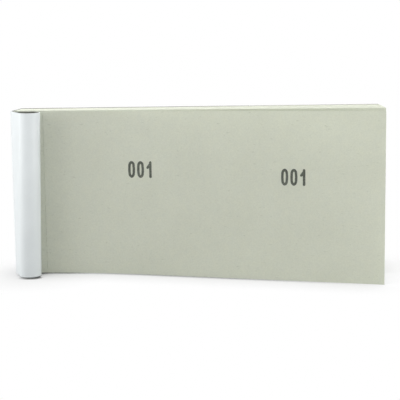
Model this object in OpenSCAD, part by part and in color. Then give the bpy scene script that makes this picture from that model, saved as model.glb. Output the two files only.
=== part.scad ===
// Numbered ticket pad: a stapled stack of sheets standing on its long edge,
// with its card cover looped round the spine and folded behind the backing board.
// X runs along the pad from the spine, Y runs from front to back, Z is up.
// All sizes are in millimetres and angles in degrees.

/* [Sheets] */
// length of a sheet from the spine to its free end
sheet_l = 104; // [80:1:150]
// height of a sheet, which is the height of the standing pad
sheet_h = 46.4; // [42:0.2:75]
// thickness of the paper
paper_t = 0.09; // [0.06:0.01:0.12]
// film of air between two sheets at the staples
paper_air = 0.01; // [0.01:0.005:0.03]
// number of sheets in the pad
sheet_count = 100; // [60:2:120]
// gap between the cover's loop and the perforation where a sheet turns
turn_gap = 0.45; // [0.4:0.05:2]
// length of one cut in the perforation
perf_cut = 2.2; // [1:0.1:2.4]
// length of paper left between two cuts
perf_tie = 1; // [0.6:0.1:1.4]
// width of a cut
perf_w = 0.06; // [0.04:0.01:0.15]

/* [Fan of the sheets] */
// swing of the first sheet towards the viewer
fan_front = 0.4; // [0:0.1:2]
// swing of the last sheet and the board away from the viewer
fan_back = 4.4; // [0:0.1:5]
// extra bend that lifts the first sheet off the stack
first_lift = 10.6; // [2:0.2:14]
// flat length of the first sheet from the perforation to its bend
first_flat = 4.8; // [2:0.2:12]
// length over which the first sheet bends
first_bend_l = 26; // [10:1:40]

/* [Cover] */
// thickness of the cover card
card_t = 0.3; // [0.2:0.05:0.4]
// width of the stapled margin, from the spine to the crease
crease_x = 5.6; // [5.2:0.1:6.6]
// angle at which the card leaves the crease
crease_angle = 60; // [45:1:66]
// length of card between the crease and the round of the loop
crease_l = 3.3; // [1.6:0.1:3.8]
// radius of the round of the loop
loop_r = 2.9; // [2.6:0.1:3.4]
// angle of the card that runs back from the loop to the spine
slant = 29; // [26:1:36]
// radius of the bend beside the spine
spine_r = 3; // [2:0.2:4]
// gap between the spine and the card beside it
spine_gap = 0.5; // [0.3:0.1:0.9]
// length of the cover that reaches behind the board
flap_l = 66.5; // [40:0.5:78]
// gap between the board and the free end of the folded cover
flap_gap = 0.4; // [0.2:0.1:8]

/* [Board] */
// thickness of the backing board
board_t = 1.8; // [0.8:0.1:2.4]

/* [Staples] */
// thickness of the staple wire
wire = 0.6; // [0.4:0.05:0.7]
// length of a staple's crown
crown_l = 12; // [8:0.5:14]
// distance from the spine to the staples
staple_x = 3.5; // [3:0.1:4]
// length of a clinched leg behind the board
clinch_l = 4; // [2:0.25:4]
// distance from each long edge to the middle of its staple
staple_end = 12; // [10:0.5:14]
// clearance round a leg in its hole
leg_gap = 0.05; // [0.05:0.01:0.1]
// clearance between the clinched legs and the folded cover
clinch_gap = 0.3; // [0.2:0.05:0.6]

/* [Hidden] */
loose_count = 10;
pitch = paper_t + paper_air;
stack_t = sheet_count * pitch;
board_y = stack_t + 0.02;
board_back = board_y + board_t;
wire_gap = 0.02;
hole = wire + 2 * leg_gap;
loop_right = crease_x + crease_l * cos(crease_angle) + loop_r * (1 - sin(crease_angle)) + card_t / 2;
turn_x = loop_right + turn_gap;
turn_slit = 0.015;
first_bend_x = turn_x + first_flat;
fold_gap = card_t / 2 + 0.01;
fold_x = -spine_gap - card_t / 2;
fold_y = board_back + wire_gap + wire + clinch_gap;
staple_low_z = staple_end;
staple_high_z = sheet_h - staple_end;
step = 5;

// the folded cover leans in from the corner of the spine until its free end is near the board
fold_off = (staple_x - fold_x) * sin(fan_back) + (fold_y - board_y) * cos(fan_back) - board_t;
flap_angle = fan_back + asin((flap_gap + card_t / 2 - fold_off) / (fold_gap + flap_l));

// the middle of the whole pad's box on the floor is the origin
first_end = first_path()[len(first_path()) - 1] - [staple_x, 0];
front_y = sheet_y(1) - first_end[0] * sin(fan_front) + first_end[1] * cos(fan_front)
    - paper_t / 2 * cos(fan_front + first_lift);
flap_back = fold_y + (fold_gap + flap_l) * sin(flap_angle) + card_t / 2 * cos(flap_angle);
board_end = board_y + (sheet_l - staple_x) * sin(fan_back) + board_t * cos(fan_back);
back_y = max(flap_back, board_end);
middle = [(fold_x - card_t / 2 + sheet_l) / 2, (front_y + back_y) / 2, 0];

// forward swing of sheet k, even from the first sheet to the last
function swing(k) = fan_front - (fan_front + fan_back) * (k - 1) / (sheet_count - 1);
// middle plane of sheet k at the staples
function sheet_y(k) = (k - 0.5) * pitch;
// first and last sheet of the stack's quarter q, behind the loose sheets
function quarter_from(q) = loose_count + 1 + floor((sheet_count - loose_count) * q / 4);
function quarter_to(q) = quarter_from(q + 1) - 1;

// points along a round, from one angle to another
function round_points(centre, r, a, b) =
    let (n = max(6, ceil(abs(b - a) / step)))
    [for (i = [0:n]) centre + r * [cos(a + (b - a) * i / n), sin(a + (b - a) * i / n)]];

// unit direction from one point to the next
function heading(p, q) = (q - p) / norm(q - p);
// point on one side of a path, at half the thickness, mitred where the path turns
function side_point(path, i, d) =
    let (
        last = len(path) - 1,
        h0 = i > 0 ? heading(path[i - 1], path[i]) : heading(path[0], path[1]),
        h1 = i < last ? heading(path[i], path[i + 1]) : h0,
        m = (h0 + h1) / norm(h0 + h1)
    )
    path[i] + d * [-m[1], m[0]] / (m * h0);
// outline of a strip of even thickness along a path
function strip(path, t) = concat(
    [for (i = [0:len(path) - 1]) side_point(path, i, t / 2)],
    [for (i = [len(path) - 1:-1:0]) side_point(path, i, -t / 2)]
);

// stands the pad with the middle of its box over the origin
module stand() {
    translate(-middle) children();
}

// places a sheet's own flat drawing at its place and swing in the pad
module in_sheet(k) {
    translate([staple_x, sheet_y(k), 0])
        rotate([0, 0, -swing(k)])
            translate([-staple_x, 0, 0]) children();
}

// holes for the four staple legs
module leg_holes() {
    for (z = [staple_low_z, staple_high_z], s = [-1, 1])
        translate([staple_x - hole / 2, -2, z + s * (crown_l - wire) / 2 - hole / 2])
            cube([hole, board_back + 4, hole]);
}

// the part of a loose sheet that turns, flat except for the first
module loose_sheet(k) {
    color([0.78, 0.80, 0.74])
    in_sheet(k)
        difference() {
            if (k == 1) linear_extrude(height = sheet_h) polygon(strip(first_path(), paper_t));
            else translate([turn_x, -paper_t / 2, 0]) cube([sheet_l - turn_x, paper_t, sheet_h]);
            perforation();
        }
}

// row of cuts along the line where a sheet turns and tears off
module perforation() {
    n = floor((sheet_h - perf_tie) / (perf_cut + perf_tie));
    first = (sheet_h - n * (perf_cut + perf_tie) + perf_tie) / 2;
    for (i = [0:n - 1])
        translate([turn_x - perf_w, -paper_t, first + i * (perf_cut + perf_tie)])
            cube([2 * perf_w, 2 * paper_t, perf_cut]);
}

// plan of the first sheet: flat, a gentle bend, then flat again to its free end
function first_path() =
    let (
        r = first_bend_l * 180 / (PI * first_lift),
        centre = [first_bend_x, -r],
        bend = round_points(centre, r, 90, 90 - first_lift),
        last = bend[len(bend) - 1],
        rest = sheet_l - first_bend_x - first_bend_l
    )
    concat([[turn_x, 0]], bend, [last + rest * [cos(first_lift), -sin(first_lift)]]);

// margins of the loose sheets, held by the staples
module bound_margins() {
    color([0.76, 0.78, 0.72])
    for (k = [1:loose_count])
        difference() {
            in_sheet(k) translate([0, -paper_t / 2, 0])
                cube([turn_x - turn_slit, paper_t, sheet_h]);
            leg_holes();
        }
}

// a quarter of the sheets behind the loose ones
module stack_quarter(q) {
    color([0.78, 0.80, 0.74])
    for (k = [quarter_from(q):quarter_to(q)])
        difference() {
            in_sheet(k) translate([0, -paper_t / 2, 0]) cube([sheet_l, paper_t, sheet_h]);
            leg_holes();
        }
}

// plan of the cover: stapled margin, crease, loop over the front, and along the spine
function cover_path() =
    let (
        margin = function(x) [x, -card_t / 2 - paper_air - (x - staple_x) * tan(fan_front)],
        crease = margin(crease_x),
        top = crease + crease_l * [cos(crease_angle), -sin(crease_angle)],
        centre = top - loop_r * [sin(crease_angle), cos(crease_angle)],
        loop = round_points(centre, loop_r, 90 - crease_angle, slant - 180),
        leave = loop[len(loop) - 1],
        run = (leave[0] + spine_r * cos(slant) - spine_r - fold_x) / sin(slant),
        meet = leave + run * [-sin(slant), cos(slant)],
        bend = round_points(meet + spine_r * [cos(slant), sin(slant)], spine_r, 180 + slant, 180)
    )
    concat([margin(0), crease], loop, bend, [[fold_x, fold_y - fold_gap]]);

module front_cover_loop() {
    color([0.95, 0.96, 0.96])
    difference() {
        linear_extrude(height = sheet_h) polygon(strip(cover_path(), card_t));
        translate([0, -1, 0]) intersection() {
            leg_holes();
            translate([0, -2, 0]) cube([crease_x, 4, sheet_h]);
        }
    }
}

// the rest of the cover, folded behind the board
module front_cover_flap() {
    color([0.95, 0.96, 0.96])
    translate([fold_x, fold_y, 0])
        rotate([0, 0, flap_angle])
            translate([fold_gap, -card_t / 2, 0]) cube([flap_l, card_t, sheet_h]);
}

module backing_board() {
    color([0.60, 0.58, 0.53])
    difference() {
        translate([staple_x, board_y, 0])
            rotate([0, 0, fan_back])
                translate([-staple_x, 0, 0]) cube([sheet_l, board_t, sheet_h]);
        leg_holes();
    }
}

// crown in front, two legs through the pad, and their ends folded over behind
module staple(z) {
    front = -card_t - paper_air - wire_gap - wire;
    back = board_back + wire_gap + wire;
    color([0.70, 0.71, 0.73])
    translate([staple_x - wire / 2, 0, z]) {
        translate([0, front, -crown_l / 2]) cube([wire, wire, crown_l]);
        for (s = [-1, 1])
            translate([0, front, s * (crown_l - wire) / 2 - wire / 2])
                cube([wire, back - front, wire]);
        translate([0, back - wire, -crown_l / 2]) cube([wire, wire, clinch_l]);
        translate([0, back - wire, crown_l / 2 - clinch_l]) cube([wire, wire, clinch_l]);
    }
}

stand() front_cover_loop();
stand() front_cover_flap();
stand() loose_sheet(1);  // sheet_001
stand() loose_sheet(2);  // sheet_002
stand() loose_sheet(3);  // sheet_003
stand() loose_sheet(4);  // sheet_004
stand() loose_sheet(5);  // sheet_005
stand() loose_sheet(6);  // sheet_006
stand() loose_sheet(7);  // sheet_007
stand() loose_sheet(8);  // sheet_008
stand() loose_sheet(9);  // sheet_009
stand() loose_sheet(10);  // sheet_010
stand() bound_margins();
stand() stack_quarter(0);  // stack_front
stand() stack_quarter(1);  // stack_second
stand() stack_quarter(2);  // stack_third
stand() stack_quarter(3);  // stack_back
stand() backing_board();
stand() staple(staple_low_z);  // staple_lower
stand() staple(staple_high_z);  // staple_upper
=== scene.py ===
# Numbered ticket pad standing on its long edge on a white floor
import math

import bmesh
import bpy
import numpy as np
from mathutils import Matrix, Vector


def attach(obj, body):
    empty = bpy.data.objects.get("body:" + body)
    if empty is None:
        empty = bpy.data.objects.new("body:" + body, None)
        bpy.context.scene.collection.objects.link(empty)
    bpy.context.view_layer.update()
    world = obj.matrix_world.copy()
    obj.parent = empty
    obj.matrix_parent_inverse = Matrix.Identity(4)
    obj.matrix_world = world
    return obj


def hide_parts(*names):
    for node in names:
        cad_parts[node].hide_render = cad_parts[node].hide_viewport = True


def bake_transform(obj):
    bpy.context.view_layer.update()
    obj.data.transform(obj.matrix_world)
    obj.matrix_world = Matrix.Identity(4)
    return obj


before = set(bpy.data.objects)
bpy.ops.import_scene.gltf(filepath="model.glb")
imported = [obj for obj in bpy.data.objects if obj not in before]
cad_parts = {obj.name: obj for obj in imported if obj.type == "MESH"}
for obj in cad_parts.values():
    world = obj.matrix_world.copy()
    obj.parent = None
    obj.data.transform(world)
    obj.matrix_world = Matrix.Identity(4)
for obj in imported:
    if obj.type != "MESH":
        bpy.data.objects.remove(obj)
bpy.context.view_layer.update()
mm = 0.001
scene = bpy.context.scene
scene.view_settings.view_transform = "Standard"
print("frame loaded:", len(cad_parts), "nodes")

# the pad's own sizes in millimetres and degrees, as in the part's source
pad = {
    "middle": (51.6, 2.245164),  # from the spine's front corner to the centre of the pad's box
    "sheetLength": 104.0,
    "sheetHeight": 46.4,
    "paper": 0.09,
    "pitch": 0.1,
    "sheets": 100,
    "loose": 10,  # front sheets that turn
    "fanFront": 0.4,
    "fanBack": 4.4,
    "stapleX": 3.5,
    "turnX": 8.238526,
    "firstFlat": 4.8,  # from the turn line to the first sheet's bend
}


def toRow(x, y, z):
    # a point of the pad's drawing, in metres from the centre of its box
    return Vector(((x - pad["middle"][0]) * mm, (y - pad["middle"][1]) * mm, z * mm))


def swingOf(k):
    fan = pad["fanFront"] + pad["fanBack"]
    return math.radians(pad["fanFront"] - fan * (k - 1) / (pad["sheets"] - 1))


# Camera, placed in the pad's drawing
shot = {
    "place": (73.748, -306.042, 64.625),
    "azimuth": 3.994,
    "elevation": 8.109,
    "roll": -0.732,
    "lens": 99.0,
    "sensor": 36.0,
}


def makeCamera():
    a = math.radians(shot["azimuth"])
    e = math.radians(shot["elevation"])
    r = math.radians(shot["roll"])
    back = Vector((math.sin(a) * math.cos(e), -math.cos(a) * math.cos(e), math.sin(e)))
    right = (-back).cross(Vector((0, 0, 1))).normalized()
    up = right.cross(-back)
    across = right * math.cos(r) + up * math.sin(r)
    upright = up * math.cos(r) - right * math.sin(r)
    data = bpy.data.cameras.new("photoCamera")
    data.lens = shot["lens"]
    data.sensor_width = shot["sensor"]
    camera = bpy.data.objects.new("photoCamera", data)
    scene.collection.objects.link(camera)
    turn = Matrix((across, upright, back)).transposed().to_4x4()
    camera.matrix_world = Matrix.Translation(toRow(*shot["place"])) @ turn
    scene.camera = camera


makeCamera()
print("camera placed")


# Materials
def newMaterial(name):
    material = bpy.data.materials.new(name)
    material.use_nodes = True
    tree = material.node_tree
    return material, tree, tree.nodes["Principled BSDF"]


def plug(tree, value, socket):
    if isinstance(value, bpy.types.NodeSocket):
        tree.links.new(value, socket)
    else:
        socket.default_value = value


def addNode(tree, kind, inputs=None, **settings):
    made = tree.nodes.new(kind)
    for key, value in settings.items():
        setattr(made, key, value)
    for label, value in (inputs or {}).items():
        plug(tree, value, made.inputs[label])
    return made


def calc(tree, operation, *values):
    made = addNode(tree, "ShaderNodeMath", operation=operation)
    for value, socket in zip(values, made.inputs):
        plug(tree, value, socket)
    return made.outputs[0]


def mapRange(tree, value, low, high, first, last, kind="LINEAR"):
    made = addNode(tree, "ShaderNodeMapRange", interpolation_type=kind)
    for index, item in enumerate((value, low, high, first, last)):
        plug(tree, item, made.inputs[index])
    return made.outputs[0]


def objectPoint(tree, stretch=(1, 1, 1), turn=0.0):
    # object coordinates in millimetres, squeezed along an axis where a grain runs
    spot = addNode(tree, "ShaderNodeTexCoord")
    fit = addNode(tree, "ShaderNodeMapping", {"Vector": spot.outputs["Object"]})
    fit.inputs["Scale"].default_value = [1000 * s for s in stretch]
    fit.inputs["Rotation"].default_value = (0, math.radians(turn), 0)
    return fit.outputs["Vector"]


def noiseAt(tree, point, scale, detail=3.0, rough=0.55):
    inputs = {"Vector": point, "Scale": scale, "Detail": detail, "Roughness": rough}
    return addNode(tree, "ShaderNodeTexNoise", inputs).outputs["Fac"]


def ramp(tree, fac, stops):
    made = addNode(tree, "ShaderNodeValToRGB", {"Fac": fac})
    bar = made.color_ramp
    bar.elements[0].position, bar.elements[0].color = stops[0][0], (*stops[0][1], 1)
    bar.elements[1].position, bar.elements[1].color = stops[-1][0], (*stops[-1][1], 1)
    for place, colour in stops[1:-1]:
        bar.elements.new(place).color = (*colour, 1)
    return made.outputs["Color"]


def greys(tree, fac, stops):
    return ramp(tree, fac, [(place, (value,) * 3) for place, value in stops])


def blendColour(tree, fac, a, b, kind="MIX"):
    made = addNode(tree, "ShaderNodeMix", data_type="RGBA", blend_type=kind)
    plug(tree, fac, made.inputs[0])
    plug(tree, a if isinstance(a, bpy.types.NodeSocket) else (*a, 1), made.inputs[6])
    plug(tree, b if isinstance(b, bpy.types.NodeSocket) else (*b, 1), made.inputs[7])
    return made.outputs[2]


def addBump(tree, shader, height, strength, depth):
    bump = addNode(tree, "ShaderNodeBump", {"Strength": strength, "Distance": depth * mm, "Height": height})
    tree.links.new(bump.outputs["Normal"], shader.inputs["Normal"])


def linear(r, g, b):
    # a colour as read off the screen, 0 to 255, in the shader's own scale
    return tuple(((c / 255 + 0.055) / 1.055) ** 2.4 for c in (r, g, b))


paperTone = {
    "pale": (223, 226, 212),
    "deep": (216, 219, 205),
    "fleck": (191, 195, 179),
    "through": 0.25,  # share of light that passes a single sheet
    "sheetDraw": 7.37,  # step in the noise from one sheet of the stack to the next
    "sheetRange": [(0.34, 0.97), (0.66, 1.08)],
}


def sheetEdgeShade(tree):
    # each sheet of the fanned stack is a little lighter or darker than the next, painted shade for cut edges
    # that catch the light unevenly; it shows along the cut edges
    apart = addNode(tree, "ShaderNodeSeparateXYZ", {"Vector": objectPoint(tree)})
    along = calc(tree, "ADD", apart.outputs["X"], pad["middle"][0] - pad["stapleX"])
    level = calc(tree, "ADD", apart.outputs["Y"], pad["middle"][1] + pad["pitch"] / 2)
    spread = math.radians(pad["fanFront"] + pad["fanBack"]) / (pad["sheets"] - 1)
    level = calc(tree, "MULTIPLY_ADD", along, math.radians(pad["fanFront"]) + spread, level)
    order = calc(tree, "DIVIDE", level, calc(tree, "MULTIPLY_ADD", along, spread, pad["pitch"]))
    draw = calc(tree, "MULTIPLY", calc(tree, "ROUND", order), paperTone["sheetDraw"])
    point = addNode(tree, "ShaderNodeCombineXYZ", {"X": draw}).outputs[0]
    return greys(tree, noiseAt(tree, point, 1.0, 0), paperTone["sheetRange"])


def ticketPaper(name, through, stacked):
    # uncoated grey-green stock: soft clouds, fine mottling and a few short fibres
    material, tree, shader = newMaterial(name)
    point = objectPoint(tree)
    clouds = noiseAt(tree, point, 0.09, 2)
    patches = noiseAt(tree, point, 0.55, 2)
    mottle = noiseAt(tree, point, 2.4, 4, 0.65)
    fibres = noiseAt(tree, objectPoint(tree, (0.45, 1, 1.6), 25), 1.5, 2)
    base = ramp(tree, mottle, [(0.33, linear(*paperTone["deep"])), (0.66, linear(*paperTone["pale"]))])
    wide = ramp(tree, clouds, [(0.3, (0.965, 0.965, 0.96)), (0.7, (1, 1, 1))])
    small = ramp(tree, patches, [(0.3, (0.975, 0.98, 0.985)), (0.7, (1, 1, 0.99))])
    base = blendColour(tree, 1.0, base, wide, "MULTIPLY")
    base = blendColour(tree, 1.0, base, small, "MULTIPLY")
    fleck = calc(tree, "MULTIPLY", greys(tree, fibres, [(0.66, 0), (0.76, 1)]), 0.6)
    base = blendColour(tree, fleck, base, linear(*paperTone["fleck"]))
    # stacked sheets also get the painted shade of their cut edges
    if stacked:
        base = blendColour(tree, 1.0, base, sheetEdgeShade(tree), "MULTIPLY")
    tree.links.new(base, shader.inputs["Base Color"])
    shader.inputs["Roughness"].default_value = 0.88
    shader.inputs["Specular IOR Level"].default_value = 0.22
    addBump(tree, shader, mottle, 0.25, 0.03)
    if through > 0:
        glow = addNode(tree, "ShaderNodeBsdfTranslucent", {"Color": base})
        mix = addNode(tree, "ShaderNodeMixShader", {"Fac": through})
        tree.links.new(shader.outputs[0], mix.inputs[1])
        tree.links.new(glow.outputs[0], mix.inputs[2])
        tree.links.new(mix.outputs[0], tree.nodes["Material Output"].inputs["Surface"])
    return material


cardTone = {
    "whiteCoverFace": {"pale": (218, 223, 224), "deep": (214, 219, 220), "rough": 0.42, "grain": 0.06},
    "greyCoverBack": {"pale": (104, 106, 98), "deep": (92, 94, 87), "rough": 0.85, "grain": 0.3},
}


def coverCard(name):
    # smooth card: a soft change of tone and gloss, and a faint grain
    tone = cardTone[name]
    rough = tone["rough"]
    material, tree, shader = newMaterial(name)
    point = objectPoint(tree)
    soft = noiseAt(tree, point, 0.12, 2)
    fine = noiseAt(tree, point, 3.0, 3)
    base = ramp(tree, soft, [(0.3, linear(*tone["deep"])), (0.7, linear(*tone["pale"]))])
    dust = greys(tree, fine, [(0.3, 0.985), (0.7, 1)])
    tree.links.new(blendColour(tree, 1.0, base, dust, "MULTIPLY"), shader.inputs["Base Color"])
    gloss = greys(tree, soft, [(0.3, rough - 0.05), (0.7, rough + 0.05)])
    tree.links.new(gloss, shader.inputs["Roughness"])
    shader.inputs["Specular IOR Level"].default_value = 0.4
    addBump(tree, shader, fine, tone["grain"], 0.02)
    return material


def greyBoard(name):
    # chipboard: clouded pulp with dark specks and a few pale shreds of paper
    material, tree, shader = newMaterial(name)
    point = objectPoint(tree)
    clouds = noiseAt(tree, point, 0.16, 3)
    pulp = noiseAt(tree, objectPoint(tree, (0.75, 1, 1.2), 20), 1.3, 5, 0.7)
    specks = noiseAt(tree, point, 1.7, 2)
    shreds = noiseAt(tree, objectPoint(tree, (0.5, 1, 1.5), -35), 1.1, 2)
    tones = [(0.3, linear(104, 102, 95)), (0.52, linear(119, 116, 108)), (0.72, linear(134, 131, 122))]
    base = ramp(tree, pulp, tones)
    wide = greys(tree, clouds, [(0.3, 0.93), (0.7, 1.04)])
    base = blendColour(tree, 1.0, base, wide, "MULTIPLY")
    dark = ramp(tree, specks, [(0.64, (1, 1, 1)), (0.72, (0.6, 0.58, 0.55))])
    base = blendColour(tree, 1.0, base, dark, "MULTIPLY")
    pale = greys(tree, shreds, [(0.67, 0), (0.74, 0.45)])
    tree.links.new(blendColour(tree, pale, base, linear(172, 169, 160)), shader.inputs["Base Color"])
    shader.inputs["Roughness"].default_value = 0.93
    shader.inputs["Specular IOR Level"].default_value = 0.18
    addBump(tree, shader, pulp, 0.35, 0.05)
    return material


def stapleWire(name):
    # drawn steel wire, streaked along the legs
    material, tree, shader = newMaterial(name)
    streak = noiseAt(tree, objectPoint(tree, (6, 6, 0.6)), 1.2, 3)
    base = ramp(tree, streak, [(0.3, linear(172, 174, 178)), (0.7, linear(206, 208, 211))])
    tree.links.new(base, shader.inputs["Base Color"])
    tree.links.new(greys(tree, streak, [(0.3, 0.24), (0.7, 0.4)]), shader.inputs["Roughness"])
    shader.inputs["Metallic"].default_value = 1.0
    addBump(tree, shader, streak, 0.2, 0.01)
    return material


def numberInk(name):
    # stamped ink, thin and broken where the paper's grain kept it off
    material, tree, shader = newMaterial(name)
    point = objectPoint(tree)
    fine = noiseAt(tree, point, 4.5, 3, 0.7)
    wide = noiseAt(tree, point, 1.1, 2)
    tones = [(0.32, linear(60, 64, 58)), (0.55, linear(84, 88, 80)), (0.74, linear(130, 134, 122))]
    base = ramp(tree, fine, tones)
    thin = greys(tree, wide, [(0.4, 1), (0.66, 1.35)])
    tree.links.new(blendColour(tree, 1.0, base, thin, "MULTIPLY"), shader.inputs["Base Color"])
    shader.inputs["Roughness"].default_value = 0.7
    shader.inputs["Specular IOR Level"].default_value = 0.25
    return material


liftedStock = ticketPaper("liftedTicketPaper", paperTone["through"], False)
looseStock = ticketPaper("looseTicketPaper", paperTone["through"], True)
stackStock = ticketPaper("stackTicketPaper", 0.0, True)
whiteCard = coverCard("whiteCoverFace")
greyCard = coverCard("greyCoverBack")
chipboard = greyBoard("greyChipboard")
steel = stapleWire("stapleSteel")
ink = numberInk("numberingInk")
print("materials made")


def dress(nodeName, material):
    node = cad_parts[nodeName]
    node.data.materials.clear()
    node.data.materials.append(material)


for number in range(2, pad["loose"] + 1):
    dress(f"sheet_{number:03d}", looseStock)
dress("bound_margins", liftedStock)
for nodeName in ("stack_front", "stack_second", "stack_third", "stack_back"):
    dress(nodeName, stackStock)
dress("backing_board", chipboard)


# Node trees: each one grows a piece from its base and gives it its finish
def newTree(name, sockets):
    tree = bpy.data.node_groups.new(name, "GeometryNodeTree")
    tree.interface.new_socket("Geometry", in_out="INPUT", socket_type="NodeSocketGeometry")
    keys = {}
    for label, kind in sockets.items():
        made = tree.interface.new_socket(label, in_out="INPUT", socket_type="NodeSocket" + kind)
        keys[label] = made.identifier
    tree.interface.new_socket("Geometry", in_out="OUTPUT", socket_type="NodeSocketGeometry")
    given = tree.nodes.new("NodeGroupInput")
    result = tree.nodes.new("NodeGroupOutput")
    return tree, keys, given.outputs, result.inputs["Geometry"]


def finishTree(tree, geometry, material, result):
    whole = addNode(tree, "GeometryNodeRealizeInstances", {"Geometry": geometry})
    paint = addNode(tree, "GeometryNodeSetMaterial", {"Geometry": whole.outputs[0], "Material": material})
    tree.links.new(paint.outputs[0], result)


def growMesh(name, base, tree, keys, values):
    # runs a tree on a base mesh or curve and keeps the plain mesh
    holder = bpy.data.objects.new(name + "Base", base)
    scene.collection.objects.link(holder)
    modifier = holder.modifiers.new("grow", "NODES")
    modifier.node_group = tree
    for label, key in keys.items():
        modifier[key] = values[label]
    bpy.context.view_layer.update()
    ready = holder.evaluated_get(bpy.context.evaluated_depsgraph_get())
    mesh = bpy.data.meshes.new_from_object(ready)
    mesh.name = name
    bpy.data.objects.remove(holder)
    return mesh


def pathCurve(name, points):
    # an open line of straight steps, in millimetres
    line = bpy.data.curves.new(name, "CURVE")
    line.dimensions = "3D"
    spline = line.splines.new("POLY")
    spline.points.add(len(points) - 1)
    for point, place in zip(spline.points, points):
        point.co = (*place, 1)
    return line


def finishMesh(name, mesh, body, smooth=None):
    made = bpy.data.objects.new(name, mesh)
    scene.collection.objects.link(made)
    if smooth is not None:
        mesh.shade_smooth()
        mesh.set_sharp_from_angle(angle=math.radians(smooth))
    if body:
        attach(made, body)
    return made


def heldPlace(tree, given, point):
    # from the pad's drawing in millimetres to its place in metres
    moved = addNode(tree, "ShaderNodeVectorMath", operation="ADD")
    plug(tree, point, moved.inputs[0])
    plug(tree, given["Place"], moved.inputs[1])
    scaled = addNode(tree, "ShaderNodeVectorMath", operation="SCALE")
    plug(tree, moved.outputs[0], scaled.inputs[0])
    scaled.inputs["Scale"].default_value = mm
    return scaled.outputs[0]


def partsOf(tree):
    spot = addNode(tree, "GeometryNodeInputPosition")
    apart = addNode(tree, "ShaderNodeSeparateXYZ", {"Vector": spot.outputs[0]})
    return apart.outputs["X"], apart.outputs["Y"], apart.outputs["Z"]


def pointOf(tree, x, y, z):
    made = addNode(tree, "ShaderNodeCombineXYZ", {"X": x, "Y": y, "Z": z})
    return made.outputs[0]


def moveTo(tree, geometry, point):
    made = addNode(tree, "GeometryNodeSetPosition", {"Geometry": geometry, "Position": point})
    return made.outputs[0]


def thicken(tree, geometry, depth):
    # a closed sheet from a flat one: its front is drawn forward, its back is the flat one turned round
    way = pointOf(tree, 0.0, -1.0, 0.0)
    weld = 0.001
    inputs = {"Mesh": geometry, "Offset": way, "Offset Scale": depth, "Individual": False}
    front = addNode(tree, "GeometryNodeExtrudeMesh", inputs, mode="FACES")
    back = addNode(tree, "GeometryNodeFlipFaces", {"Mesh": geometry})
    both = tree.nodes.new("GeometryNodeJoinGeometry")
    tree.links.new(front.outputs["Mesh"], both.inputs[0])
    tree.links.new(back.outputs["Mesh"], both.inputs[0])
    joined = addNode(tree, "GeometryNodeMergeByDistance", {"Geometry": both.outputs[0], "Distance": weld})
    return joined.outputs[0]


# Sheets: a flat drawing (X along the sheet, Y through it, Z up) bends off the stack and swings into the fan
sheetBend = {
    "Bend from": pad["turnX"] + pad["firstFlat"],
    "Bend length": 26.0,
    "Lift": math.radians(10.6),
}
bendSockets = {label: "Float" for label in (*sheetBend, "Swing")}
bendSockets["Place"] = "Vector"


def layOnPad(tree, given, geometry):
    s, v, z = partsOf(tree)
    past = calc(tree, "MAXIMUM", calc(tree, "SUBTRACT", s, given["Bend from"]), 0.0)
    bent = calc(tree, "MINIMUM", past, given["Bend length"])
    rest = calc(tree, "SUBTRACT", past, bent)
    lean = calc(tree, "MULTIPLY", given["Lift"], calc(tree, "DIVIDE", bent, given["Bend length"]))
    # never quite nothing, because the bend's reach is divided by it
    least = 0.0001
    some = calc(tree, "MAXIMUM", lean, least)
    sine = calc(tree, "SINE", lean)
    cosine = calc(tree, "COSINE", lean)
    # the bend's reach along and across, for each millimetre of its length
    along = calc(tree, "DIVIDE", calc(tree, "SINE", some), some)
    aside = calc(tree, "DIVIDE", calc(tree, "SUBTRACT", 1.0, calc(tree, "COSINE", some)), some)
    x = calc(tree, "MULTIPLY_ADD", bent, along, calc(tree, "MINIMUM", s, given["Bend from"]))
    x = calc(tree, "MULTIPLY_ADD", rest, cosine, x)
    x = calc(tree, "MULTIPLY_ADD", v, sine, x)
    y = calc(tree, "SUBTRACT", calc(tree, "MULTIPLY", v, cosine), calc(tree, "MULTIPLY", bent, aside))
    y = calc(tree, "SUBTRACT", y, calc(tree, "MULTIPLY", rest, sine))
    fromStaple = pointOf(tree, calc(tree, "SUBTRACT", x, pad["stapleX"]), y, z)
    swung = addNode(tree, "ShaderNodeVectorRotate", {"Vector": fromStaple}, rotation_type="Z_AXIS")
    plug(tree, calc(tree, "MULTIPLY", given["Swing"], -1.0), swung.inputs["Angle"])
    return moveTo(tree, geometry, heldPlace(tree, given, swung.outputs[0]))


def sheetPlace(k):
    level = (k - 0.5) * pad["pitch"]
    return {
        "Bend from": sheetBend["Bend from"],
        "Bend length": sheetBend["Bend length"],
        "Lift": sheetBend["Lift"] if k == 1 else 0.0,
        "Swing": swingOf(k),
        "Place": (pad["stapleX"] - pad["middle"][0], level - pad["middle"][1], 0.0),
    }


# First sheet: a grid from the turn line to the free end, with the perforation's cuts left out
firstSheet = {
    "Length": pad["sheetLength"],
    "Height": pad["sheetHeight"],
    "Turn line": pad["turnX"],
    "Cut": 2.2,
    "Tie": 1.0,
    "Cut width": 0.06,
    "Paper": pad["paper"],
    "Columns": 112,
}


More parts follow.
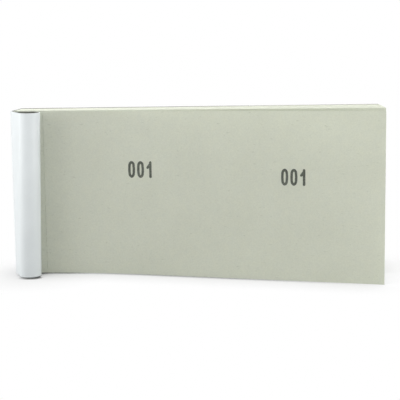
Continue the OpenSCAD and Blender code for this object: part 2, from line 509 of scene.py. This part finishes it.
def sheetTree():
    sizes = {label: "Int" if label == "Columns" else "Float" for label in firstSheet}
    tree, keys, given, result = newTree("perforatedSheet", {**sizes, **bendSockets, "Finish": "Material"})
    pace = calc(tree, "ADD", given["Cut"], given["Tie"])
    room = calc(tree, "SUBTRACT", given["Height"], given["Tie"])
    count = calc(tree, "FLOOR", calc(tree, "DIVIDE", room, pace))
    spare = calc(tree, "SUBTRACT", given["Height"], calc(tree, "MULTIPLY", count, pace))
    first = calc(tree, "MULTIPLY", calc(tree, "ADD", spare, given["Tie"]), 0.5)
    lastRow = calc(tree, "MULTIPLY_ADD", count, 2.0, 1.0)
    lastColumn = calc(tree, "SUBTRACT", given["Columns"], 1.0)
    counts = {"Vertices X": given["Columns"], "Vertices Y": calc(tree, "ADD", lastRow, 1.0)}
    grid = addNode(tree, "GeometryNodeMeshGrid", {"Size X": lastColumn, "Size Y": lastRow, **counts})
    x, y, _ = partsOf(tree)
    column = calc(tree, "MULTIPLY_ADD", lastColumn, 0.5, x)
    row = calc(tree, "MULTIPLY_ADD", lastRow, 0.5, y)
    # every other face of the first column is a cut
    odd = calc(tree, "MODULO", calc(tree, "FLOOR", row), 2.0)
    isCut = calc(tree, "MULTIPLY", odd, calc(tree, "LESS_THAN", column, 1.0))
    cut = addNode(tree, "GeometryNodeDeleteGeometry", {"Geometry": grid.outputs["Mesh"], "Selection": isCut})
    cut.domain = "FACE"
    # rows go to the ends of the cuts, the outer rows to the sheet's long edges
    row = calc(tree, "ROUND", row)
    pair = calc(tree, "FLOOR", calc(tree, "DIVIDE", calc(tree, "SUBTRACT", row, 1.0), 2.0))
    even = calc(tree, "SUBTRACT", 1.0, calc(tree, "MODULO", row, 2.0))
    z = calc(tree, "MULTIPLY_ADD", pair, pace, first)
    z = calc(tree, "MULTIPLY_ADD", even, given["Cut"], z)
    z = calc(tree, "MULTIPLY", z, calc(tree, "GREATER_THAN", row, 0.5))
    end = calc(tree, "GREATER_THAN", row, calc(tree, "SUBTRACT", lastRow, 0.5))
    z = calc(tree, "MULTIPLY_ADD", calc(tree, "SUBTRACT", given["Height"], z), end, z)
    # the first column is as wide as a cut, the rest share the length evenly
    column = calc(tree, "ROUND", column)
    share = calc(tree, "DIVIDE", calc(tree, "SUBTRACT", column, 1.0), calc(tree, "SUBTRACT", lastColumn, 1.0))
    edge = calc(tree, "ADD", given["Turn line"], given["Cut width"])
    s = calc(tree, "MULTIPLY_ADD", calc(tree, "SUBTRACT", given["Length"], edge), share, given["Cut width"])
    s = calc(tree, "MULTIPLY_ADD", s, calc(tree, "GREATER_THAN", column, 0.5), given["Turn line"])
    flat = moveTo(tree, cut.outputs[0], pointOf(tree, s, calc(tree, "MULTIPLY", given["Paper"], 0.5), z))
    laid = layOnPad(tree, given, thicken(tree, flat, given["Paper"]))
    finishTree(tree, laid, given["Finish"], result)
    return tree, keys


def makeFirstSheet():
    tree, keys = sheetTree()
    values = {**firstSheet, **sheetPlace(1), "Finish": liftedStock}
    mesh = growMesh("firstSheet", bpy.data.meshes.new("sheetBase"), tree, keys, values)
    made = finishMesh("firstSheet", mesh, "sheet_001", smooth=30)
    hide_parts("sheet_001")


makeFirstSheet()
print("first sheet made")


# Cover: one strip of card from the stapled margin, over the loop, round the spine and behind the board
cover = {
    "Card": 0.3,
    "Height": pad["sheetHeight"],
    "Edge round": 0.04,
    "Lean foot": -0.4,  # the loop leans along the pad from its foot to its head
    "Lean head": 0.68,
    "Foot gap": 0.14,  # margin and loop stop a little short of the sheets at both ends
    "Head gap": 0.24,
    "creaseX": 5.6,
    "creaseAngle": 60,
    "creaseLength": 3.3,
    "loopRadius": 2.9,
    "slant": 29,
    "spineRadius": 3.0,
    "foldX": -0.65,
    "foldY": 12.74,
    "foldRound": 0.42,
    "flapLength": 66.5,
    "flapAngle": 3.8152,
    "clear": 0.01,  # air between the card and what it lies on
    "blendReach": 0.9,  # from the fold, where the card starts and stops bending with the flap
    "blendRise": 0.11,
}


def arcPoints(centre, r, a, b, n):
    turns = [math.radians(a + (b - a) * i / n) for i in range(n + 1)]
    return [(centre[0] + r * math.cos(t), centre[1] + r * math.sin(t)) for t in turns]


def between(p, q, n):
    # points inside a straight run
    return [(p[0] + (q[0] - p[0]) * i / n, p[1] + (q[1] - p[1]) * i / n) for i in range(1, n)]


def coverPlan():
    c = cover
    tilt = math.tan(math.radians(pad["fanFront"]))

    def margin(x):
        return x, -c["Card"] / 2 - c["clear"] - (x - pad["stapleX"]) * tilt

    ca, sl, fa = [math.radians(c[key]) for key in ("creaseAngle", "slant", "flapAngle")]
    r = c["spineRadius"]
    crease = margin(c["creaseX"])
    top = (crease[0] + c["creaseLength"] * math.cos(ca), crease[1] - c["creaseLength"] * math.sin(ca))
    centre = (top[0] - c["loopRadius"] * math.sin(ca), top[1] - c["loopRadius"] * math.cos(ca))
    loop = arcPoints(centre, c["loopRadius"], 90 - c["creaseAngle"], c["slant"] - 180, 64)
    leave = loop[-1]
    run = (leave[0] + r * math.cos(sl) - r - c["foldX"]) / math.sin(sl)
    meet = (leave[0] - run * math.sin(sl), leave[1] + run * math.cos(sl))
    bend = arcPoints((meet[0] + r * math.cos(sl), meet[1] + r * math.sin(sl)), r, 180 + c["slant"], 180, 16)
    # rounded corner from the spine into the flap
    reach = c["foldRound"] * math.tan(math.radians(90 - c["flapAngle"]) / 2)
    low = (c["foldX"], c["foldY"] - reach)
    fold = arcPoints((c["foldX"] + c["foldRound"], low[1]), c["foldRound"], 180, 90 + c["flapAngle"], 14)
    far = c["flapLength"] + c["Card"] / 2 + c["clear"]
    end = (c["foldX"] + far * math.cos(fa), c["foldY"] + far * math.sin(fa))
    stretches = [[margin(0.0)], between(margin(0.0), crease, 4), [crease], between(crease, top, 4), loop]
    stretches += [between(leave, meet, 6), bend, between(bend[-1], low, 8), fold]
    return stretches + [between(fold[-1], end, 24), [end]]


def lengthOf(points):
    return sum(math.dist(p, q) for p, q in zip(points, points[1:]))


def keepValue(tree, geometry, label, value):
    # a value that stays with its points while the strip is swept
    kept = addNode(tree, "GeometryNodeCaptureAttribute", {"Geometry": geometry}, domain="POINT")
    kept.capture_items.new("FLOAT", label)
    plug(tree, value, kept.inputs[label])
    return kept.outputs["Geometry"], kept.outputs[label]


def coverTree():
    sizes = ("Card", "Height", "Edge round", "Lean foot", "Lean head", "Foot gap", "Head gap")
    walk = ("Loop start", "Loop end", "Spine start")
    sockets = {label: "Float" for label in sizes + walk}
    sockets.update({"Place": "Vector", "White": "Material", "Grey": "Material"})
    tree, keys, given, result = newTree("coverSweep", sockets)
    card = addNode(tree, "GeometryNodeCurvePrimitiveQuadrilateral")
    plug(tree, given["Card"], card.inputs["Width"])
    plug(tree, given["Height"], card.inputs["Height"])
    soft = addNode(tree, "GeometryNodeFilletCurve", {"Curve": card.outputs[0], "Count": 2}, mode="POLY")
    plug(tree, given["Edge round"], soft.inputs["Radius"])
    profile, side = keepValue(tree, soft.outputs[0], "side", partsOf(tree)[0])
    # the loop takes the whole lean, the margin and the loop the gaps, the spine neither
    walked = addNode(tree, "GeometryNodeSplineParameter").outputs["Length"]
    rise = mapRange(tree, walked, 0.0, given["Loop start"], 0.0, 1.0)
    fall = mapRange(tree, walked, given["Loop end"], given["Spine start"], 1.0, 0.0, "SMOOTHSTEP")
    path, share = keepValue(tree, given["Geometry"], "share", calc(tree, "MULTIPLY", rise, fall))
    path, short = keepValue(tree, path, "short", fall)
    upright = addNode(tree, "GeometryNodeSetCurveNormal", {"Curve": path}, mode="Z_UP")
    inputs = {"Curve": upright.outputs[0], "Profile Curve": profile, "Fill Caps": True}
    sweep = addNode(tree, "GeometryNodeCurveToMesh", inputs)
    x, y, z = partsOf(tree)
    head = calc(tree, "ADD", calc(tree, "DIVIDE", z, given["Height"]), 0.5)
    lean = mapRange(tree, head, 0.0, 1.0, given["Lean foot"], given["Lean head"])
    gaps = mapRange(tree, head, 0.0, 1.0, given["Foot gap"], calc(tree, "MULTIPLY", given["Head gap"], -1.0))
    x = calc(tree, "MULTIPLY_ADD", lean, share, x)
    z = calc(tree, "MULTIPLY_ADD", gaps, short, calc(tree, "MULTIPLY", head, given["Height"]))
    stood = moveTo(tree, sweep.outputs[0], heldPlace(tree, given, pointOf(tree, x, y, z)))
    whole = addNode(tree, "GeometryNodeRealizeInstances", {"Geometry": stood})
    white = addNode(tree, "GeometryNodeSetMaterial", {"Geometry": whole.outputs[0]})
    plug(tree, given["White"], white.inputs["Material"])
    # the card's other side is dark grey, which is what makes the hollow of the loop dark; its cut edges are
    # white
    hidden = calc(tree, "GREATER_THAN", side, calc(tree, "MULTIPLY", given["Card"], 0.3))
    grey = addNode(tree, "GeometryNodeSetMaterial", {"Geometry": white.outputs[0], "Selection": hidden})
    plug(tree, given["Grey"], grey.inputs["Material"])
    tree.links.new(grey.outputs[0], result)
    return tree, keys


def makeCover():
    stretches = coverPlan()
    path = [p for stretch in stretches for p in stretch]
    tree, keys = coverTree()
    values = {label: cover[label] for label in keys if label in cover}
    values["Loop start"] = lengthOf(stretches[0] + stretches[2])
    values["Loop end"] = lengthOf([p for stretch in stretches[:5] for p in stretch])
    values["Spine start"] = lengthOf([p for stretch in stretches[:7] for p in stretch])
    values["Place"] = (-pad["middle"][0], -pad["middle"][1], 0.0)
    values.update({"White": whiteCard, "Grey": greyCard})
    line = pathCurve("coverPath", [(x, y, 0.0) for x, y in path])
    mesh = growMesh("coverStrip", line, tree, keys, values)
    made = finishMesh("coverStrip", mesh, None, smooth=40)
    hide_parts("front_cover_loop", "front_cover_flap")
    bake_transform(made)


makeCover()
print("cover made")


# Staples: wire with rounded edges along a bent path
staple = {
    "Wire": 0.6,
    "Corner": 0.55,
    "crown": 12.0,
    "front": -0.93,
    "back": 12.44,
    "clinch": 4.0,
    "cornerSteps": 6,
    "edgeShare": 0.3,  # rounding of the wire's edges, as a share of its width
    "edgeSteps": 3,
    "heights": {"staple_lower": 12.0, "staple_upper": 34.4},
}


def stapleTree():
    sockets = {"Wire": "Float", "Corner": "Float", "Place": "Vector", "Finish": "Material"}
    tree, keys, given, result = newTree("stapleSweep", sockets)
    inputs = {"Curve": given["Geometry"], "Radius": given["Corner"], "Count": staple["cornerSteps"]}
    bent = addNode(tree, "GeometryNodeFilletCurve", inputs, mode="POLY")
    wire = addNode(tree, "GeometryNodeCurvePrimitiveQuadrilateral")
    plug(tree, given["Wire"], wire.inputs["Width"])
    plug(tree, given["Wire"], wire.inputs["Height"])
    edge = calc(tree, "MULTIPLY", given["Wire"], staple["edgeShare"])
    inputs = {"Curve": wire.outputs[0], "Radius": edge, "Count": staple["edgeSteps"]}
    soft = addNode(tree, "GeometryNodeFilletCurve", inputs, mode="POLY")
    inputs = {"Curve": bent.outputs[0], "Profile Curve": soft.outputs[0], "Fill Caps": True}
    sweep = addNode(tree, "GeometryNodeCurveToMesh", inputs)
    spot = addNode(tree, "GeometryNodeInputPosition")
    stood = moveTo(tree, sweep.outputs[0], heldPlace(tree, given, spot.outputs[0]))
    finishTree(tree, stood, given["Finish"], result)
    return tree, keys


def makeStaples():
    tree, keys = stapleTree()
    half = staple["Wire"] / 2
    x, top = pad["stapleX"], staple["crown"] / 2 - half
    front, back = staple["front"] + half, staple["back"] - half
    reach = staple["crown"] / 2 - staple["clinch"]
    corners = [(back, reach), (back, top), (front, top), (front, -top), (back, -top), (back, -reach)]
    values = {"Wire": staple["Wire"], "Corner": staple["Corner"], "Finish": steel}
    values["Place"] = (-pad["middle"][0], -pad["middle"][1], 0.0)
    for nodeName, height in staple["heights"].items():
        name = nodeName.replace("_", "") + "Wire"
        line = pathCurve(name + "Path", [(x, y, height + z) for y, z in corners])
        made = finishMesh(name, growMesh(name, line, tree, keys, values), "pad", smooth=35)
        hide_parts(nodeName)


makeStaples()
print("staples made")


# Numerals: narrow stamped digits, drawn as strokes and filled out to an even width
numeral = {
    "height": 4.75,
    "width": 1.98,
    "stroke": 0.72,
    "step": 2.6,
    "cell": 0.09,
    "ragged": 0.04,
    "Ink": 0.006,
    "lift": 0.004,
    "places": ((32.5, 27.5), (76.0, 26.2)),
    "sizeStep": -0.03,  # the second stamp is a little smaller
    "stamps": 2,
    "seed": 40,
    "soften": 3,
    "weld": 0.002,
}

# strokes in a box one wide and one high: smooth ones follow all their points, straight ones are corners
bowl = [(0, 0.3), (0.13, 0.07), (0.5, 0), (0.87, 0.07), (1, 0.3), (0.87, 0.51), (0.5, 0.58), (0.14, 0.5)]
hook = [(1, 0.3), (0.86, 0.07), (0.48, 0), (0.15, 0.04), (0, 0.17)]
side = [(0, 0.62), (0.1, 0.88), (0.5, 1), (0.9, 0.88), (1, 0.62)]
digitStrokes = {
    "0": {"smooth": [side + [(1 - x, 1 - y) for x, y in side] + side[:1]]},
    "1": {"straight": [[(0.72, 0), (0.72, 1)], [(0.7, 0.9), (0.08, 0.64)]]},
    "2": {
        "smooth": [
            [(0.02, 0.76), (0.12, 0.93), (0.5, 1), (0.88, 0.92), (0.98, 0.72), (0.8, 0.45), (0.02, 0)],
        ],
        "straight": [[(0.02, 0), (1, 0)]],
    },
    "3": {
        "smooth": [
            [(0.02, 0.82), (0.2, 0.96), (0.5, 1), (0.86, 0.92), (0.95, 0.75), (0.8, 0.58), (0.42, 0.53)],
            [(0.42, 0.53), (0.84, 0.47)] + hook,
        ],
    },
    "4": {"straight": [[(0.78, 0), (0.78, 1), (0, 0.3), (1.05, 0.3)]]},
    "5": {
        "straight": [[(0.95, 1), (0.1, 1), (0.04, 0.55)]],
        "smooth": [[(0.04, 0.55), (0.3, 0.62), (0.6, 0.62), (0.92, 0.5)] + hook],
    },
    "6": {"smooth": [[(0.93, 0.85), (0.78, 0.97), (0.5, 1), (0.14, 0.89), (0, 0.6)] + bowl + [(0, 0.36)]]},
    "7": {"straight": [[(0, 1), (1, 1)]], "smooth": [[(1, 1), (0.72, 0.62), (0.5, 0.28), (0.4, 0)]]},
    "8": {
        "smooth": [
            bowl[:5] + [(0.87, 0.49), (0.5, 0.56), (0.13, 0.49), (0, 0.3)],
            [(0.05, 0.78), (0.16, 0.6), (0.5, 0.55), (0.84, 0.6), (0.95, 0.78)]
            + [(0.84, 0.94), (0.5, 1), (0.16, 0.94), (0.05, 0.78)],
        ],
    },
}
# a nine is a six turned round
digitStrokes["9"] = {"smooth": [[(1 - x, 1 - y) for x, y in line] for line in digitStrokes["6"]["smooth"]]}


def smoothLine(points, steps=6):
    pts = [np.array(p, float) for p in points]
    closed = np.allclose(pts[0], pts[-1])
    before = pts[-2] if closed else 2 * pts[0] - pts[1]
    after = pts[1] if closed else 2 * pts[-1] - pts[-2]
    pts = [before] + pts + [after]
    line = []
    for i in range(1, len(pts) - 2):
        a, b, c, d = pts[i - 1 : i + 3]
        for t in np.arange(steps) / steps:
            curve = (2 * a - 5 * b + 4 * c - d) * t**2 + (3 * b - a - 3 * c + d) * t**3
            line.append(0.5 * (2 * b + (c - a) * t + curve))
    return line + [pts[-2]]


def inkDepth(digit):
    # how far each grid point lies inside the digit's strokes, with a slightly ragged edge
    half, cell = numeral["stroke"] / 2, numeral["cell"]
    room = (numeral["width"] - numeral["stroke"], numeral["height"] - numeral["stroke"])
    xs = np.arange(-cell, numeral["width"] + 3 * cell, cell)
    ys = np.arange(-cell, numeral["height"] + 3 * cell, cell)
    gx, gy = np.meshgrid(xs, ys, indexing="ij")
    lines = [smoothLine(points) for points in digitStrokes[digit].get("smooth", [])]
    lines += [[np.array(p, float) for p in points] for points in digitStrokes[digit].get("straight", [])]
    away = np.full(gx.shape, 2 * numeral["height"])
    for line in lines:
        line = [p * room + half for p in line]
        for a, b in zip(line, line[1:]):
            d = b - a
            t = np.clip(((gx - a[0]) * d[0] + (gy - a[1]) * d[1]) / max(d @ d, 1e-9), 0, 1)
            away = np.minimum(away, np.hypot(gx - a[0] - t * d[0], gy - a[1] - t * d[1]))
    wobble = np.random.default_rng(numeral["seed"] + int(digit)).normal(size=gx.shape)
    for _ in range(numeral["soften"]):
        beside = np.roll(wobble, 1, 0) + np.roll(wobble, 1, 1) + np.roll(wobble, (-1, -1), (0, 1))
        wobble = (wobble + beside) / 4
    return xs, ys, half - away + numeral["ragged"] * wobble


def digitFaces(digit):
    # the inked side of every grid cell, as flat polygons
    xs, ys, inside = inkDepth(digit)
    polygons = []
    for i in range(len(xs) - 1):
        for j in range(len(ys) - 1):
            ring = [(i, j), (i + 1, j), (i + 1, j + 1), (i, j + 1)]
            polygon = []
            for k in range(4):
                p, q = ring[k], ring[(k + 1) % 4]
                va, vb = inside[p], inside[q]
                if va > 0:
                    polygon.append((xs[p[0]], ys[p[1]]))
                if (va > 0) != (vb > 0):
                    t = va / (va - vb)
                    alongX = xs[p[0]] + t * (xs[q[0]] - xs[p[0]])
                    alongY = ys[p[1]] + t * (ys[q[1]] - ys[p[1]])
                    polygon.append((alongX, alongY))
            if len(polygon) > 2:
                polygons.append(polygon)
    return polygons


def flatNumber(number):
    # three digits side by side, facing the viewer
    bm = bmesh.new()
    for i, digit in enumerate(f"{number:03d}"):
        for polygon in digitFaces(digit):
            bm.faces.new([bm.verts.new((x + i * numeral["step"], 0, z)) for x, z in polygon])
    bmesh.ops.remove_doubles(bm, verts=bm.verts, dist=numeral["weld"])
    mesh = bpy.data.meshes.new(f"flatNumber{number:03d}")
    bm.to_mesh(mesh)
    bm.free()
    return mesh


def stampTree():
    sockets = {"First stamp": "Vector", "Next stamp": "Vector", "Size step": "Float"}
    sockets.update({"Stamps": "Int", "Ink": "Float"})
    tree, keys, given, result = newTree("stampNumber", {**sockets, **bendSockets, "Finish": "Material"})
    inputs = {"Count": given["Stamps"], "Start Location": given["First stamp"], "Offset": given["Next stamp"]}
    spots = addNode(tree, "GeometryNodeMeshLine", mode="OFFSET", count_mode="TOTAL")
    for key, item in inputs.items():
        plug(tree, item, spots.inputs[key])
    order = addNode(tree, "GeometryNodeInputIndex").outputs[0]
    size = calc(tree, "MULTIPLY_ADD", order, given["Size step"], 1.0)
    inputs = {"Points": spots.outputs[0], "Instance": given["Geometry"], "Scale": size}
    stamps = addNode(tree, "GeometryNodeInstanceOnPoints", inputs)
    whole = addNode(tree, "GeometryNodeRealizeInstances", {"Geometry": stamps.outputs[0]})
    laid = layOnPad(tree, given, thicken(tree, whole.outputs[0], given["Ink"]))
    finishTree(tree, laid, given["Finish"], result)
    return tree, keys


def makeNumerals():
    # both stamps of a sheet, on its front face
    tree, keys = stampTree()
    (x0, z0), (x1, z1) = numeral["places"]
    values = {"Stamps": numeral["stamps"], "Size step": numeral["sizeStep"]}
    values.update({"Ink": numeral["Ink"], "Finish": ink})
    values["First stamp"] = (x0, -pad["paper"] / 2 - numeral["lift"], z0)
    values["Next stamp"] = (x1 - x0, 0.0, z1 - z0)
    # the sheet behind the loose ones is the first that stays with the pad
    for number in range(1, pad["loose"] + 2):
        name = f"numerals{number:03d}"
        mesh = growMesh(name, flatNumber(number), tree, keys, {**values, **sheetPlace(number)})
        body = f"sheet_{number:03d}" if number <= pad["loose"] else "pad"
        finishMesh(name, mesh, body)


makeNumerals()
print("numerals made")


# Floor and light
studio = {
    "world": 0.2,
    "aim": (0, 0, 0.02),
    "lamps": {
        "leftLamp": {"place": (-0.55, -0.12, 0.22), "size": (0.8, 0.5), "power": 3.3},
        "rightLamp": {"place": (0.42, -0.16, 0.15), "size": (0.25, 0.25), "power": 1.1},
        "topLamp": {"place": (0.0, -0.25, 0.6), "size": (0.6, 0.4), "power": 1.4},
        "backLamp": {"place": (0.1, 0.5, 0.45), "size": (0.6, 0.4), "power": 3.7},
        "frontLamp": {"place": (0.25, -0.65, 0.22), "size": (0.6, 0.4), "power": 0.5},
    },
}

# lengths on the floor are in metres; a range is from and to, then what it gives at either end
floorLook = {
    "size": 2.0,
    "grey": 0.65,
    "rough": 0.9,
    "loop": (-0.0468, -0.0067),  # the middle of the cover's loop
    "wideReach": 0.014,
    "wideGlow": (0.25, 1.0, 0.36, 1.0),
    # less glow round the loop: painted shade that deepens the loop's soft shadow
    "paintedLoopShade": (0.003, 0.022, 0.24, 0.0),
    # the painted shadow line under the standing edges
    "shadowLineReach": 0.004,
    "shadowLineStops": [(0.62, 1), (0.8, 0)],
    "shadowLineColour": (0.06, 0.065, 0.06, 1),
    "besideLoop": (0.003, 0.0062, 1.0, 0.0),
    "ahead": (0.1, -0.97),  # the way from the loop towards the viewer
    "aheadGain": (0.35, 0.9, 0.26, -0.38),
    "fadeSpan": (-0.055, 0.055, 0.0, 1.0),
    "fadeStops": [
        (0.03, 0), (0.07, 0.9), (0.16, 0.9), (0.22, 0.5), (0.4, 0.65), (0.6, 0.6), (0.85, 0.2), (0.95, 0),
    ],
}


def seenRays(tree):
    # rays from the camera, and those that metal throws back to it
    rays = addNode(tree, "ShaderNodeLightPath").outputs
    mirrored = calc(tree, "MAXIMUM", rays["Is Glossy Ray"], rays["Is Transmission Ray"])
    return calc(tree, "MAXIMUM", rays["Is Camera Ray"], mirrored)


def makeFloor():
    bm = bmesh.new()
    bmesh.ops.create_grid(bm, x_segments=1, y_segments=1, size=floorLook["size"])
    mesh = bpy.data.meshes.new("floor")
    bm.to_mesh(mesh)
    bm.free()
    floor = bpy.data.objects.new("floor", mesh)
    scene.collection.objects.link(floor)
    material, tree, shader = newMaterial("whiteFloor")
    shader.inputs["Base Color"].default_value = (*(floorLook["grey"],) * 3, 1)
    shader.inputs["Roughness"].default_value = floorLook["rough"]
    shader.inputs["Specular IOR Level"].default_value = 0.0
    glow = addNode(tree, "ShaderNodeEmission", {"Color": (1, 1, 1, 1), "Strength": 1.0})
    seen = seenRays(tree)
    spot = addNode(tree, "ShaderNodeTexCoord")
    apart = addNode(tree, "ShaderNodeSeparateXYZ", {"Vector": spot.outputs["Object"]})
    x, y = apart.outputs["X"], apart.outputs["Y"]
    loopX = calc(tree, "SUBTRACT", x, floorLook["loop"][0])
    loopY = calc(tree, "SUBTRACT", y, floorLook["loop"][1])
    squares = calc(tree, "MULTIPLY_ADD", loopX, loopX, calc(tree, "MULTIPLY", loopY, loopY))
    fromLoop = calc(tree, "SQRT", squares)
    # the floor glows white to the camera, less so close to the pad, where it keeps the shadow; how much of
    # that shade shows is painted, from ambient occlusion and from nearness to the loop
    wide = addNode(tree, "ShaderNodeAmbientOcclusion", {"Distance": floorLook["wideReach"]}, samples=8)
    share = mapRange(tree, wide.outputs["AO"], *floorLook["wideGlow"])
    share = calc(tree, "SUBTRACT", share, mapRange(tree, fromLoop, *floorLook["paintedLoopShade"]))
    mix = addNode(tree, "ShaderNodeMixShader", {"Fac": calc(tree, "MULTIPLY", seen, share)})
    tree.links.new(shader.outputs[0], mix.inputs[1])
    tree.links.new(glow.outputs[0], mix.inputs[2])
    # painted shadow: a thin dark line under the standing edges, from ambient occlusion and the place on the
    # floor, deepest before the loop and fading towards the lifted end
    near = addNode(tree, "ShaderNodeAmbientOcclusion", {"Distance": floorLook["shadowLineReach"]}, samples=8)
    besideLoop = mapRange(tree, fromLoop, *floorLook["besideLoop"])
    aheadX, aheadY = floorLook["ahead"]
    ahead = calc(tree, "MULTIPLY_ADD", loopY, aheadY, calc(tree, "MULTIPLY", loopX, aheadX))
    before = mapRange(tree, calc(tree, "DIVIDE", ahead, fromLoop), *floorLook["aheadGain"])
    openness = calc(tree, "MULTIPLY_ADD", besideLoop, before, near.outputs["AO"])
    dark = greys(tree, openness, floorLook["shadowLineStops"])
    fade = greys(tree, mapRange(tree, x, *floorLook["fadeSpan"]), floorLook["fadeStops"])
    line = calc(tree, "MULTIPLY", calc(tree, "MULTIPLY", dark, fade), seen)
    shade = addNode(tree, "ShaderNodeBsdfDiffuse", {"Color": floorLook["shadowLineColour"]})
    contactShadow = addNode(tree, "ShaderNodeMixShader", {"Fac": line})
    tree.links.new(mix.outputs[0], contactShadow.inputs[1])
    tree.links.new(shade.outputs[0], contactShadow.inputs[2])
    tree.links.new(contactShadow.outputs[0], tree.nodes["Material Output"].inputs["Surface"])
    floor.data.materials.append(material)


def addLamp(name, place, size, power):
    data = bpy.data.lights.new(name, "AREA")
    data.shape = "RECTANGLE"
    data.size, data.size_y = size
    data.energy = power
    lamp = bpy.data.objects.new(name, data)
    scene.collection.objects.link(lamp)
    lamp.location = place
    lamp.rotation_mode = "QUATERNION"
    lamp.rotation_quaternion = (Vector(studio["aim"]) - Vector(place)).to_track_quat("-Z", "Y")


def makeLight():
    world = bpy.data.worlds.new("studioWorld")
    scene.world = world
    world.use_nodes = True
    tree = world.node_tree
    soft = tree.nodes["Background"]
    soft.inputs["Color"].default_value = (1, 1, 1, 1)
    soft.inputs["Strength"].default_value = studio["world"]
    white = addNode(tree, "ShaderNodeBackground", {"Color": (1, 1, 1, 1), "Strength": 1.0})
    mix = addNode(tree, "ShaderNodeMixShader", {"Fac": seenRays(tree)})
    tree.links.new(soft.outputs[0], mix.inputs[1])
    tree.links.new(white.outputs[0], mix.inputs[2])
    tree.links.new(mix.outputs[0], tree.nodes["World Output"].inputs["Surface"])
    for name, lamp in studio["lamps"].items():
        addLamp(name, **lamp)


makeFloor()
makeLight()
print("floor and light set")
